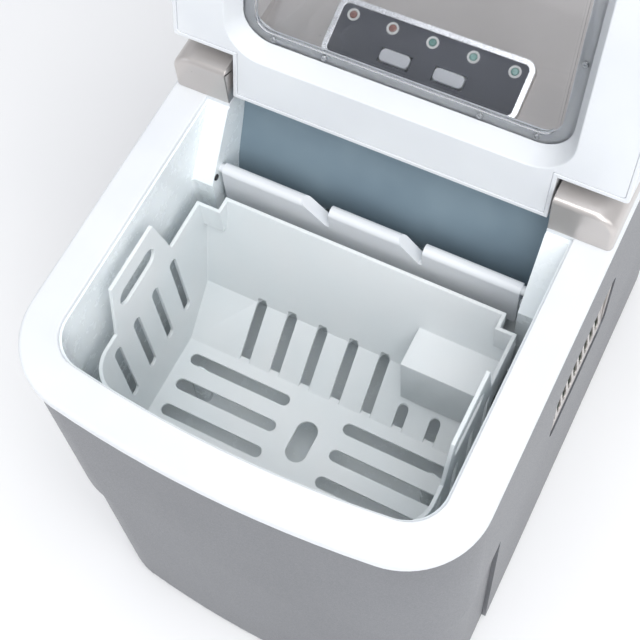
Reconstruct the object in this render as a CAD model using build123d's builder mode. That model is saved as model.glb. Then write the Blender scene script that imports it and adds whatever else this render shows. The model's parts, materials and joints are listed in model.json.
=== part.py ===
from build123d import *
import os
from math import atan, cos, degrees, radians, sin, sqrt

# Countertop ice maker, lid open. Millimetres, +Z up, front towards -Y, feet on Z = 0,
# origin at the middle of the footprint.

# ---- Driving dimensions ----
# casing
width = 240.0
depth = 358.0
rim_height = 302.4
bow_radius = 624.0
front_corner = 42.0
rear_corner = 14.0
foot_height = 5.0
foot_radius = 11.0
pan_thickness = 2.0
shell_inset = 1.5
shell_wall = 2.0
sunk_depth = 2.5
sunk_below_rim = 140.0
sunk_length = 80.8
rim_thickness = 3.0
skirt_height = 7.0
skirt_wall = 3.0
rim_strip = 20.9
opening_half = width / 2 - 19.8
opening_corner = 19.9
# hinge arms and rear housing
rim_length = 187.8
arm_height = 25.6
arm_inner_half = width / 2 - 33.1
arm_edge_radius = 3.0
housing_inset = 1.2
housing_wall = 2.5
shoulder_radius = 12.0
trough_length = 31.5
deck_front_rise = 13.0
deck_step_rise = 16.0
deck_step_back = 40.0
deck_flat_back = 74.0
# lid and hinge
lid_half = width / 2 - 0.4
tongue_half = arm_inner_half - 1.5
notch_depth = 28.3
lid_thickness = 24.5
lid_wall = 2.2
shoulder_gap = 5.5
lid_lift = 0.5
hinge_back = 14.32
hinge_rise = 10.97
hinge_pin_radius = 4.0
pin_clearance = 0.05
open_lean = 11.58
lid_front_gap = 1.0
window_half = lid_half - 34.1
window_bottom = 34.0
window_front_margin = 26.0
window_corner = 16.0
funnel_slope_width = 5.0
window_depth = 12.0
window_flange = 8.0
window_rib = 1.2
window_ledge = 6.0
window_thickness = 2.0
# control pod
pod_back = 52.2
pod_rise = 23.9
pod_tilt = 22.6
overlay_width = 99.9
overlay_height = 26.7
pod_border = 3.0
pod_height = 14.0
lamp_row = 8.4
lamp_pitch = 21.8
lamp_radius = 2.0
button_row = -5.8
button_offset = 14.6
button_length = 16.0
button_height = 7.0
button_travel = 0.8
# liner and tank
liner_half = opening_half - 1
liner_wall = 2.5
tank_depth = 165.0
bay_front = 28.0
bay_back = 60.0
bay_front_drop = 112.0
bay_rear_drop = 97.0
column_drop = 40.0
foam = 5.0
# basket
basket_wall = 2.0
basket_floor_half = liner_half - 12.7
basket_floor_drop = 133.7
basket_front_back = 154.5
basket_draft = 1.5
basket_top_drop = 42.0
handle_top_drop = 7.0
ramp_start = 77.5
ramp_end = 50.5
ramp_end_drop = 109.0
back_wall_top = 31.5
# tray, pusher, evaporator
tray_back = 30.0
tray_drop = 62.0
tray_radius = 28.5
tray_wall = 2.5
tray_half = arm_inner_half - 20.9
tray_shaft_radius = 4.0
pusher_front = 17.5
pusher_drop = 36.0
pusher_barrel = 3.5
pusher_half = arm_inner_half - 2.5
pusher_pin_radius = 2.5
evaporator_drop = 26.0
finger_radius = 4.0
finger_length = 52.0
# machine room
vent_sink = 1.0
compressor_radius = 47.0
compressor_x = 45.0
compressor_back = 56.0
fan_y = -5.0
fan_z = 68.0
fan_radius = 40.0
condenser_x = 18.0 - width / 2
fan_shaft_radius = 2.5

# ---- Derived places ----
front_y = -depth / 2
rear_y = depth / 2
compressor_y = rear_y - compressor_back
arm_y = front_y + rim_length
rim_z = rim_height
half = width / 2
shell_bottom = foot_height + pan_thickness
shell_top = rim_z - skirt_height
sunk_top = rim_z - sunk_below_rim
sunk_y = front_y + sunk_length
shell_out = half - shell_inset
shell_in = shell_out - shell_wall
liner_top = rim_z - rim_thickness
tank_floor = rim_z - tank_depth
hinge_y = arm_y + hinge_back
hinge_z = rim_z + hinge_rise
tongue_reach = notch_depth - shoulder_gap - hinge_back
face_drop = hinge_rise - lid_lift
lean = radians(open_lean)
lid_length = tongue_reach + hinge_back + rim_length - lid_front_gap
bay_front_y = arm_y - bay_front
bay_back_y = arm_y + bay_back
tray_y = arm_y + tray_back
tray_z = rim_z - tray_drop
pusher_y = arm_y - pusher_front
pusher_z = rim_z - pusher_drop
evaporator_z = rim_z - evaporator_drop

lid_face = Plane(
    origin=(0, hinge_y - tongue_reach * sin(lean) - face_drop * cos(lean),
            hinge_z - tongue_reach * cos(lean) + face_drop * sin(lean)),
    x_dir=(1, 0, 0), z_dir=(0, -cos(lean), sin(lean)))
pod_face = Plane(
    origin=(0, arm_y + pod_back, rim_z + pod_rise),
    x_dir=(1, 0, 0), z_dir=(0, -sin(radians(pod_tilt)), cos(radians(pod_tilt))))


# ---- Shared shapes ----
def bowed_plan(half_width, flat_y, bow_y, bow_corner, flat_corner):
    """Plan with straight sides, a flat end and a gently bowed end."""
    way = 1 if bow_y > flat_y else -1
    side_y = bow_y - way * (bow_radius - sqrt(bow_radius**2 - half_width**2))
    with BuildSketch() as plan:
        with BuildLine():
            Polyline((-half_width, side_y), (-half_width, flat_y), (half_width, flat_y), (half_width, side_y))
            ThreePointArc((half_width, side_y), (0, bow_y), (-half_width, side_y))
        make_face()
        ends = plan.vertices().sort_by(Axis.Y)
        if way < 0:
            ends.reverse()
        fillet(ends[-2:], bow_corner)
        if flat_corner:
            flats = plan.vertices().sort_by(Axis.Y)
            fillet(flats[-2:] if way < 0 else flats[:2], flat_corner)
    return plan.sketch


def casing_plan(inset):
    """Outline of the casing, drawn in by an inset."""
    return bowed_plan(half - inset, rear_y - inset, front_y + inset, front_corner - inset, rear_corner - inset)


def round_tube(points, radius, bend):
    """Round tube along straight runs joined by bends."""
    with BuildPart() as run:
        with BuildLine() as route:
            FilletPolyline(*points, radius=bend)
        with BuildSketch(Plane(origin=route.line @ 0, z_dir=route.line % 0)):
            Circle(radius)
        sweep(path=route.line)
    return run.part


def along_x(x, y, z):
    """Plane whose normal runs along +X."""
    return Plane(origin=(x, y, z), x_dir=(0, 1, 0), z_dir=(1, 0, 0))


# ---- Base pan ----
with BuildPart() as base_pan:
    with BuildSketch(Plane.XY.offset(foot_height)):
        add(casing_plan(shell_inset))
        with Locations((0, sunk_y)):
            Rectangle(2 * width, depth, align=(Align.CENTER, Align.MAX), mode=Mode.SUBTRACT)
        add(casing_plan(shell_inset + sunk_depth))
    extrude(amount=pan_thickness)
    upstand_inset = shell_inset + sunk_depth + shell_wall + 0.2
    with BuildSketch(Plane.XY.offset(shell_bottom)):
        add(casing_plan(upstand_inset))
        add(casing_plan(upstand_inset + 2), mode=Mode.SUBTRACT)
    extrude(amount=8)
    with BuildSketch(Plane.XY.offset(foot_height)):
        with Locations((-20, 0)):
            with GridLocations(9, 1, 12, 1):
                SlotOverall(60, 4, rotation=90)
    extrude(amount=pan_thickness, mode=Mode.SUBTRACT)

foot_spots = [(side * (half - 32), y) for side in (-1, 1) for y in (front_y + 48, rear_y - 30)]
with BuildPart() as feet:
    with BuildSketch():
        with Locations(*foot_spots):
            Circle(foot_radius)
    extrude(amount=foot_height)
    chamfer(feet.edges().group_by(Axis.Z)[0], 1)

# ---- Side vents ----
vents = {
    "right": {"side": 1, "y": 12.0, "z": 177.0, "length": 84.0, "rise": 60.0, "slots": 9, "scoop": 6.5},
    "left": {"side": -1, "y": fan_y, "z": fan_z, "length": 108.0, "rise": 100.0, "slots": 12, "scoop": 1.5},
}
vent_corner = 10.0
vent_lip = 4.0
vent_slot = 5.4
vent_frame = 3.0
vent_plate = 1.2
vent_pitch = 8.0
drain_y = -79.5
drain_z = 30.0
drain_hole = 10.5
screw_spots = [(side * (half - 18), z) for side in (-1, 1) for z in (22, 150, shell_top - 15.4)]

# ---- Outer shell: front and sides in one wrap, open at the back ----
with BuildPart() as outer_shell:
    with BuildSketch(Plane.XY.offset(shell_bottom)):
        add(casing_plan(shell_inset))
    extrude(amount=shell_top - shell_bottom)
    with BuildSketch(Plane.XY.offset(shell_bottom)):
        add(casing_plan(0))
        add(casing_plan(shell_inset + sunk_depth), mode=Mode.SUBTRACT)
        with Locations((0, sunk_y)):
            Rectangle(2 * width, 2 * depth, align=(Align.CENTER, Align.MIN), mode=Mode.SUBTRACT)
    extrude(amount=sunk_top - shell_bottom, mode=Mode.SUBTRACT)
    with BuildSketch(Plane.XY.offset(shell_bottom)):
        add(casing_plan(shell_inset + shell_wall))
        with Locations((0, sunk_y + shell_wall)):
            Rectangle(2 * width, 2 * depth, align=(Align.CENTER, Align.MAX), mode=Mode.SUBTRACT)
        add(casing_plan(shell_inset + sunk_depth + shell_wall))
    extrude(amount=sunk_top + shell_wall - shell_bottom, mode=Mode.SUBTRACT)
    with BuildSketch(Plane.XY.offset(sunk_top + shell_wall)):
        add(casing_plan(shell_inset + shell_wall))
    extrude(amount=shell_top - sunk_top - shell_wall, mode=Mode.SUBTRACT)
    with BuildSketch(Plane.XZ.offset(-rear_y)):
        with Locations((0, (shell_bottom + shell_top) / 2)):
            RectangleRounded(width - 44, shell_top - shell_bottom - 26, 8)
        with Locations(*screw_spots):
            Circle(1.6)
    extrude(amount=shell_inset + shell_wall + 0.5, mode=Mode.SUBTRACT)
    for vent in vents.values():
        with BuildSketch(along_x(vent["side"] * half, vent["y"], vent["z"])):
            RectangleRounded(vent["length"], vent["rise"], vent_corner)
        extrude(amount=-vent["side"] * (shell_inset + shell_wall + 0.5), mode=Mode.SUBTRACT)
    with BuildSketch(along_x(-half, drain_y, drain_z)):
        Circle(drain_hole)
    extrude(amount=shell_inset + shell_wall + 0.5, mode=Mode.SUBTRACT)


def vent_grille(vent):
    """Plug seated in its window, with a lip behind the wall and a slotted plate that leans inwards."""
    side = vent["side"]
    lip_in = shell_in - 2
    plug_in = lip_in - vent["scoop"]
    run = vent["length"] / 2 - vent_frame
    rise = vent["rise"] / 2 - vent_frame
    face = shell_out - vent_sink
    with BuildPart() as grille:
        with BuildSketch(along_x(side * plug_in, vent["y"], vent["z"])):
            RectangleRounded(vent["length"] - 0.4, vent["rise"] - 0.4, vent_corner - 0.2)
        extrude(amount=side * (face - plug_in))
        with BuildSketch(along_x(side * lip_in, vent["y"], vent["z"])):
            RectangleRounded(vent["length"] + 2 * vent_lip, vent["rise"] + 2 * vent_lip, vent_corner + vent_lip)
        extrude(amount=side * 2)
        foot, head = vent["z"] - rise, vent["z"] + rise
        plate_head = face - vent["scoop"]
        with BuildSketch(Plane.XZ.offset(-vent["y"])):
            with BuildLine():
                Polyline((side * face, foot), (side * plate_head, head), (side * (half + 1), head),
                         (side * (half + 1), foot), close=True)
            make_face()
            with BuildLine():
                Polyline((side * (face - vent_plate), foot), (side * (plate_head - vent_plate), head),
                         (side * (plug_in - 1), head), (side * (plug_in - 1), foot), close=True)
            make_face()
        extrude(amount=run, both=True, mode=Mode.SUBTRACT)
        with BuildSketch(along_x(side * plug_in, vent["y"], vent["z"])):
            with GridLocations(vent_pitch, 1, vent["slots"], 1):
                SlotOverall(2 * rise - 6, vent_slot, rotation=90)
        extrude(amount=side * (half - plug_in), mode=Mode.SUBTRACT)
    return grille.part


with BuildPart() as vent_grille_right:
    add(vent_grille(vents["right"]))

with BuildPart() as vent_grille_left:
    add(vent_grille(vents["left"]))

# ---- Rear panel with its screws and the power inlet ----
panel_y = rear_y - shell_inset - shell_wall
panel_thickness = 2.0
gland_x = -80.0
gland_z = 60.0
gland_radius = 8.0
with BuildPart() as rear_panel:
    with BuildSketch(Plane.XZ.offset(-panel_y)):
        with Locations((0, (shell_bottom + shell_top) / 2)):
            Rectangle(width - 28, shell_top - shell_bottom - 8)
        with Locations(*screw_spots):
            Circle(1.6, mode=Mode.SUBTRACT)
        with Locations((gland_x, gland_z)):
            Circle(gland_radius, mode=Mode.SUBTRACT)
        with Locations((30, 90), (30, 210)):
            with GridLocations(8, 1, 14, 1):
                SlotOverall(80, 4, rotation=90, mode=Mode.SUBTRACT)
    extrude(amount=panel_thickness)

with BuildPart() as rear_screws:
    with BuildSketch(Plane.XZ.offset(-(rear_y - shell_inset))):
        with Locations(*screw_spots):
            Circle(3.4)
    extrude(amount=-1.4)
    with BuildSketch(Plane.XZ.offset(-(rear_y - shell_inset))):
        with Locations(*screw_spots):
            Circle(1.5)
    extrude(amount=8)

with BuildPart(Plane(origin=(gland_x, panel_y, gland_z), z_dir=(0, 1, 0))) as power_gland:
    Cylinder(12, 1.9, align=(Align.CENTER, Align.CENTER, Align.MIN))
    Cylinder(gland_radius, 14, align=(Align.CENTER, Align.CENTER, Align.MAX))
    Cylinder(4, 60, mode=Mode.SUBTRACT)

# ---- White top rim with skirt ----
with BuildPart() as top_rim:
    with BuildSketch(Plane.XY.offset(rim_z - rim_thickness)):
        add(casing_plan(0))
        add(bowed_plan(opening_half, arm_y, front_y + rim_strip, opening_corner, 0), mode=Mode.SUBTRACT)
        with Locations((0, arm_y)):
            Rectangle(2 * arm_inner_half, trough_length, align=(Align.CENTER, Align.MIN), mode=Mode.SUBTRACT)
    extrude(amount=rim_thickness)
    with BuildSketch(Plane.XY.offset(rim_z - skirt_height)):
        add(casing_plan(0))
        add(casing_plan(skirt_wall), mode=Mode.SUBTRACT)
    extrude(amount=skirt_height - rim_thickness)
    rim_face = top_rim.faces().sort_by(Axis.Z)[-1]
    fillet(rim_face.outer_wire().edges(), 2)
    rim_face = top_rim.faces().sort_by(Axis.Z)[-1]
    fillet(rim_face.inner_wires()[0].edges(), 1)

# ---- Rear housing with hinge arms and the pod ----
def housing_block(inset):
    """Solid of the rear housing, drawn in by an inset on every face but the bottom."""
    top = arm_height - inset
    inner = arm_inner_half + inset
    with BuildPart() as block:
        with BuildSketch(Plane.XY.offset(rim_z)):
            add(casing_plan(housing_inset + inset))
            with Locations((0, arm_y + inset)):
                Rectangle(2 * width, 2 * depth, align=(Align.CENTER, Align.MAX), mode=Mode.SUBTRACT)
        extrude(amount=top)
        with BuildSketch(Plane.XZ.offset(-rear_y)):
            with Locations((0, rim_z)):
                Rectangle(width - 2 * (housing_inset + inset), top, align=(Align.CENTER, Align.MIN))
            fillet(vertices().group_by(Axis.Y)[-1], shoulder_radius - inset)
        extrude(amount=depth, mode=Mode.INTERSECT)
        if not inset:
            arm_front = block.faces().sort_by(Axis.Y)[0]
            fillet(arm_front.edges().filter_by(lambda e: e.center().Z > rim_z + arm_height / 2), arm_edge_radius)
        with BuildSketch(Plane.YZ):
            with BuildLine():
                Polyline(
                    (arm_y - 1, rim_z), (arm_y + trough_length + inset, rim_z),
                    (arm_y + trough_length + inset, rim_z + deck_front_rise - inset),
                    (arm_y + deck_step_back, rim_z + deck_step_rise - inset),
                    (arm_y + deck_flat_back, rim_z + arm_height - inset),
                    (arm_y + deck_flat_back, rim_z + 2 * arm_height), (arm_y - 1, rim_z + 2 * arm_height),
                    close=True)
            make_face()
        extrude(amount=inner, both=True, mode=Mode.SUBTRACT)
    return block.part


pod_width = overlay_width + 2 * pod_border
pod_depth = overlay_height + 2 * pod_border
deck_under = 3.0
board_drop = 9.0
board_thickness = 1.6
lamp_spots = [(lamp_pitch * k, lamp_row) for k in range(-2, 3)]
button_spots = [(-button_offset, button_row), (button_offset, button_row)]
with BuildPart() as rear_housing:
    add(housing_block(0))
    with BuildSketch(pod_face):
        RectangleRounded(pod_width, pod_depth, 6)
    extrude(amount=-pod_height)
    add(housing_block(housing_wall), mode=Mode.SUBTRACT)
    with BuildSketch(pod_face.offset(-deck_under)):
        RectangleRounded(overlay_width, overlay_height, 3)
    extrude(amount=-(pod_height + 3), mode=Mode.SUBTRACT)
    with BuildSketch(pod_face.offset(-deck_under)):
        with GridLocations(overlay_width - 4, overlay_height - 4, 2, 2):
            Circle(1.8)
    extrude(amount=-(board_drop - deck_under))
    with BuildSketch(pod_face):
        RectangleRounded(overlay_width, overlay_height, 3)
    extrude(amount=-1, mode=Mode.SUBTRACT)
    with BuildSketch(pod_face):
        with Locations(*lamp_spots):
            Circle(lamp_radius + 0.1)
        with Locations(*button_spots):
            Rectangle(button_length + 0.8, button_height + 0.8)
    extrude(amount=-(deck_under + 1), mode=Mode.SUBTRACT)
    for side in (-1, 1):
        boss_root = side * (arm_inner_half + housing_wall)
        with BuildSketch(along_x(boss_root, hinge_y, hinge_z)):
            Circle(8)
        extrude(amount=side * 5)
        with BuildSketch(along_x(side * (arm_inner_half - 1), hinge_y, hinge_z)):
            Circle(hinge_pin_radius + pin_clearance)
        extrude(amount=side * 10, mode=Mode.SUBTRACT)

# ---- Control panel on the pod ----
with BuildPart() as panel_overlay:
    with BuildSketch(pod_face.offset(-1)):
        RectangleRounded(overlay_width, overlay_height, 3)
        with Locations(*lamp_spots):
            Circle(lamp_radius + 0.1, mode=Mode.SUBTRACT)
        with Locations(*button_spots):
            Rectangle(button_length + 0.8, button_height + 0.8, mode=Mode.SUBTRACT)
    extrude(amount=1)

with BuildPart() as panel_frame:
    with BuildSketch(pod_face):
        RectangleRounded(pod_width, pod_depth, 6)
        RectangleRounded(overlay_width, overlay_height, 3, mode=Mode.SUBTRACT)
    extrude(amount=0.8)


def lamps(spots):
    """Light pipes standing on the display board, domed above the overlay."""
    with BuildPart() as pipes:
        with BuildSketch(pod_face.offset(-board_drop)):
            with Locations(*spots):
                Circle(lamp_radius)
        extrude(amount=board_drop + 0.8)
        fillet(pipes.edges().sort_by(Axis(pod_face.origin, pod_face.z_dir))[-len(spots):], 0.7)
    return pipes.part


with BuildPart() as lamps_red:
    add(lamps(lamp_spots[:2]))

with BuildPart() as lamps_green:
    add(lamps(lamp_spots[2:]))

with BuildPart() as lamp_rings:
    with BuildSketch(pod_face):
        with Locations(*lamp_spots):
            Circle(lamp_radius + 1.2)
            Circle(lamp_radius + 0.1, mode=Mode.SUBTRACT)
    extrude(amount=0.4)

with BuildPart() as display_board:
    with BuildSketch(pod_face.offset(-board_drop - board_thickness)):
        Rectangle(overlay_width, overlay_height - 0.4)
    extrude(amount=board_thickness)

with BuildPart() as button_switches:
    with BuildSketch(pod_face.offset(-board_drop)):
        with Locations(*button_spots):
            Rectangle(6, 6)
    extrude(amount=2.4)
    with BuildSketch(pod_face.offset(-board_drop + 2.4)):
        with Locations(*button_spots):
            Circle(1.7)
    extrude(amount=1)


def button_cap(spot):
    """Rounded cap with a flange that keeps it under the deck."""
    with BuildPart() as cap:
        with BuildSketch(pod_face.offset(-3.4)):
            with Locations(spot):
                RectangleRounded(button_length, button_height, 2.5)
        extrude(amount=4.8)
        fillet(cap.faces().sort_by(Axis(pod_face.origin, pod_face.z_dir))[-1].edges(), 0.8)
        with BuildSketch(pod_face.offset(-4.4)):
            with Locations(spot):
                RectangleRounded(button_length + 3, button_height + 3, 2)
        extrude(amount=1)
    return cap.part


with BuildPart() as button_make:
    add(button_cap(button_spots[0]))

with BuildPart() as button_size:
    add(button_cap(button_spots[1]))


# ---- Liner: tank basin, ice bay behind it, and a column below each arm ----
def liner_space(grow):
    """Room inside the liner, or its outer skin when grown by the wall."""
    slope = bay_front / column_drop
    slope_shift = grow * sqrt(1 + slope**2)
    lean_top = arm_y - rim_thickness * slope + slope_shift
    lean_foot = rim_z - column_drop + (grow - slope_shift) / slope
    with BuildPart() as space:
        with BuildSketch(Plane.XY.offset(tank_floor - grow)):
            add(bowed_plan(liner_half + grow, bay_front_y + grow, front_y + rim_strip + 1 - grow,
                           opening_corner + grow, 2 + grow))
        extrude(amount=tank_depth - rim_thickness + grow)
        with BuildSketch(Plane.YZ):
            with BuildLine():
                Polyline(
                    (bay_front_y - 4, liner_top), (bay_back_y + grow, liner_top),
                    (bay_back_y + grow, rim_z - bay_rear_drop - grow),
                    (bay_front_y, rim_z - bay_front_drop - grow),
                    (bay_front_y - 4, rim_z - bay_front_drop - grow), close=True)
            make_face()
        extrude(amount=arm_inner_half + grow, both=True)
        with BuildSketch(Plane.YZ):
            with BuildLine():
                Polyline((bay_front_y - 4, liner_top), (lean_top, liner_top), (bay_front_y + grow, lean_foot),
                         (bay_front_y - 4, lean_foot), close=True)
            make_face()
        extrude(amount=liner_half + grow, both=True)
    return space.part


sensor_drop = 37.5
sensor_back = 23.3
sensor_radius = 1.9
sensor_body = 1.0
flange_width = 9.0
post_spots = [(x, arm_y - back) for x in (-72, 72) for back in (95, 135)]
drain_spot = (-60.0, drain_y)
liner_screw_spots = [(side * (liner_half + 6), y) for side in (-1, 1)
                     for y in (front_y + 60, front_y + 120, arm_y - 20)]
with BuildPart() as inner_liner:
    add(liner_space(liner_wall))
    with BuildSketch(Plane.XY.offset(liner_top - liner_wall)):
        add(bowed_plan(liner_half + flange_width, arm_y + 2, front_y + rim_strip + 1 - flange_width,
                       opening_corner + flange_width, 0))
        with Locations((0, arm_y)):
            Rectangle(2 * (arm_inner_half + flange_width), bay_back + flange_width,
                      align=(Align.CENTER, Align.MIN))
    extrude(amount=liner_wall)
    add(liner_space(0), mode=Mode.SUBTRACT)
    with BuildSketch(Plane.XY.offset(tank_floor)):
        with Locations(*post_spots):
            Circle(5)
    extrude(amount=tank_depth - basket_floor_drop - basket_wall - 0.3)
    with BuildSketch(Plane.XY.offset(tank_floor - liner_wall)):
        with Locations(drain_spot):
            Circle(6)
    extrude(amount=-7)
    with BuildSketch(Plane.XY.offset(tank_floor + 1)):
        with Locations(drain_spot):
            Circle(4)
    extrude(amount=-20, mode=Mode.SUBTRACT)
    with BuildSketch(along_x(0, tray_y, tray_z)):
        Circle(tray_shaft_radius + pin_clearance)
    extrude(amount=half, both=True, mode=Mode.SUBTRACT)
    with BuildSketch(along_x(0, pusher_y, pusher_z)):
        Circle(pusher_pin_radius + pin_clearance)
    extrude(amount=half, both=True, mode=Mode.SUBTRACT)
    with BuildSketch(along_x(0, arm_y - sensor_back, rim_z - sensor_drop)):
        Circle(sensor_radius + 0.1)
    extrude(amount=arm_inner_half + liner_wall + sensor_body, both=True, mode=Mode.SUBTRACT)
    with BuildSketch(Plane.XZ.offset(-bay_back_y)):
        with Locations((56, evaporator_z), (42, evaporator_z)):
            Circle(5)
    extrude(amount=-liner_wall, mode=Mode.SUBTRACT)
    with BuildSketch(Plane.XY.offset(liner_top)):
        with Locations(*liner_screw_spots):
            Circle(1.6)
    extrude(amount=-liner_wall, mode=Mode.SUBTRACT)

with BuildPart() as liner_screws:
    with BuildSketch(Plane.XY.offset(liner_top - liner_wall)):
        with Locations(*liner_screw_spots):
            Circle(2.8)
    extrude(amount=-2)
    with BuildSketch(Plane.XY.offset(liner_top - liner_wall)):
        with Locations(*liner_screw_spots):
            Circle(1.5)
    extrude(amount=liner_wall)

with BuildPart() as tank_insulation:
    foam_bottom = tank_floor - liner_wall - foam
    with BuildSketch(Plane.XY.offset(foam_bottom)):
        add(bowed_plan(liner_half + liner_wall + foam, arm_y - 60, front_y + rim_strip + 1 - liner_wall - foam,
                       opening_corner + liner_wall + foam, 0))
    extrude(amount=foam + 60)
    with BuildSketch(Plane.XY.offset(tank_floor - liner_wall)):
        add(bowed_plan(liner_half + liner_wall, bay_front_y, front_y + rim_strip + 1 - liner_wall,
                       opening_corner + liner_wall, 0))
    extrude(amount=80, mode=Mode.SUBTRACT)
    with BuildSketch(Plane.XY.offset(foam_bottom)):
        with Locations(drain_spot):
            Circle(9)
    extrude(amount=foam, mode=Mode.SUBTRACT)


def ice_sensor(side):
    """Ice-full sensor set in the side of a column, its lens facing the other one."""
    with BuildPart() as sensor:
        with BuildSketch(along_x(side * arm_inner_half, arm_y - sensor_back, rim_z - sensor_drop)):
            Circle(sensor_radius)
        extrude(amount=side * (liner_wall + sensor_body))
        extrude(sensor.faces().sort_by(Axis.X)[0 if side > 0 else -1], amount=0.9)
        tip = sensor.edges().group_by(Axis.X)[0 if side > 0 else -1]
        fillet(tip, 0.8)
    return sensor.part


with BuildPart() as sensor_left:
    add(ice_sensor(-1))

with BuildPart() as sensor_right:
    add(ice_sensor(1))

# ---- Splash guard in front of the evaporator ----
guard_thickness = 1.5
guard_line = [(15.0, -6.0), (7.0, -32.0), (-1.4, -56.0), (-1.4, -66.0)]
with BuildPart() as splash_guard:
    guard_front = [(arm_y + back, rim_z + rise) for back, rise in guard_line]
    guard_rear = [(y + guard_thickness, z) for y, z in guard_front]
    with BuildSketch(Plane.YZ):
        with BuildLine():
            Spline(*guard_front)
            Line(guard_front[-1], guard_rear[-1])
            Spline(*guard_rear)
            Line(guard_rear[0], guard_front[0])
        make_face()
    extrude(amount=arm_inner_half, both=True)

# ---- Evaporator with its fingers ----
finger_spots = [(24 * k, arm_y + 17) for k in range(-2, 3)] + [(24 * k - 36, arm_y + 31) for k in range(4)]
evaporator_end = bay_back_y + 6
with BuildPart() as evaporator:
    add(round_tube([(56, evaporator_end, evaporator_z), (56, arm_y + 17, evaporator_z),
                    (-62, arm_y + 17, evaporator_z), (-62, arm_y + 31, evaporator_z),
                    (42, arm_y + 31, evaporator_z), (42, evaporator_end, evaporator_z)], 4, 6.5))
    with BuildSketch(Plane.XY.offset(evaporator_z)):
        with Locations(*finger_spots):
            Circle(finger_radius)
    extrude(amount=-finger_length)
    fillet(evaporator.edges().group_by(Axis.Z)[0], finger_radius - 0.5)

# ---- Water tray, its motor, and the ice pusher ----
tray_end_wall = 3.0
with BuildPart(Plane.YZ) as water_tray:
    with BuildSketch(along_x(0, tray_y, tray_z)):
        Circle(tray_radius)
        Circle(tray_radius - tray_wall, mode=Mode.SUBTRACT)
        Rectangle(4 * tray_radius, 2 * tray_radius, align=(Align.CENTER, Align.MIN), mode=Mode.SUBTRACT)
    extrude(amount=tray_half, both=True)
    for side in (-1, 1):
        with BuildSketch(along_x(side * tray_half, tray_y, tray_z)):
            Circle(tray_radius)
            Rectangle(4 * tray_radius, 2 * tray_radius, align=(Align.CENTER, Align.MIN), mode=Mode.SUBTRACT)
            Circle(9)
        extrude(amount=side * tray_end_wall)
    with BuildSketch(along_x(tray_half, tray_y, tray_z)):
        Circle(tray_shaft_radius)
    extrude(amount=arm_inner_half + liner_wall - tray_half)
    with BuildSketch(along_x(-tray_half, tray_y, tray_z)):
        Circle(tray_shaft_radius)
    extrude(amount=-(arm_inner_half + liner_wall + 6 - tray_half))

motor_face = arm_inner_half + liner_wall
with BuildPart() as tray_motor:
    with BuildSketch(along_x(-motor_face, tray_y, tray_z)):
        RectangleRounded(34, 38, 5)
    extrude(amount=-16)
    with BuildSketch(along_x(-motor_face - 16, tray_y, tray_z)):
        Circle(14)
    extrude(amount=-8)
    with BuildSketch(along_x(-motor_face, tray_y, tray_z)):
        Circle(tray_shaft_radius + pin_clearance)
    extrude(amount=-7, mode=Mode.SUBTRACT)

land_ends = [(-pusher_half, -37.5, -23.3), (-21.3, 18.1, 29.8), (31.8, pusher_half, pusher_half)]
notch_drop = 10.0
land_drop = 30.0
with BuildPart() as ice_pusher:
    with BuildSketch(Plane.XZ.offset(-pusher_y)):
        for left, right_top, right_foot in land_ends:
            with BuildLine():
                Polyline((left, pusher_z - notch_drop), (left, pusher_z + pusher_barrel),
                         (right_top, pusher_z + pusher_barrel), (right_foot, pusher_z - notch_drop), close=True)
            make_face()
        with Locations((0, pusher_z - notch_drop)):
            Rectangle(2 * pusher_half, land_drop - notch_drop, align=(Align.CENTER, Align.MAX))
    extrude(amount=pusher_barrel, both=True)
    ridges = ice_pusher.edges().filter_by(Axis.X).group_by(Axis.Z)[-1]
    fillet(ridges, pusher_barrel - 0.4)
    with BuildSketch(Plane.XZ.offset(-pusher_y)):
        with Locations((0, pusher_z - land_drop)):
            Rectangle(140, 18, align=(Align.CENTER, Align.MAX))
    extrude(amount=1.5, both=True)
    for side in (-1, 1):
        with BuildSketch(along_x(side * (pusher_half - 8), pusher_y, pusher_z)):
            Circle(pusher_pin_radius)
        extrude(amount=side * (arm_inner_half + 1.2 - pusher_half + 8))

# ---- Water pump and hose ----
pump_x = 74.0
pump_y = arm_y - 42
pump_radius = 11.5
outlet_z = rim_z - 95
hose_start = bay_front_y - 1.5
with BuildPart() as water_pump:
    with BuildSketch(Plane.XY.offset(tank_floor)):
        with Locations((pump_x, pump_y)):
            Circle(pump_radius)
    extrude(amount=rim_z - 84 - tank_floor)
    chamfer(water_pump.edges().group_by(Axis.Z)[-1], 2)
    with BuildSketch(Plane.XZ.offset(-hose_start)):
        with Locations((pump_x, outlet_z)):
            Circle(5)
    extrude(amount=hose_start - pump_y)

with BuildPart() as pump_hose:
    add(round_tube([(pump_x, hose_start, outlet_z), (pump_x, arm_y + 6, outlet_z),
                    (pump_x, arm_y + 6, rim_z - 48), (54, arm_y + 6, rim_z - 48)], 3.2, 6))


# ---- Ice basket ----
notch_left = basket_floor_half - 10.5
notch_right = basket_floor_half - 6.5


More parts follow.
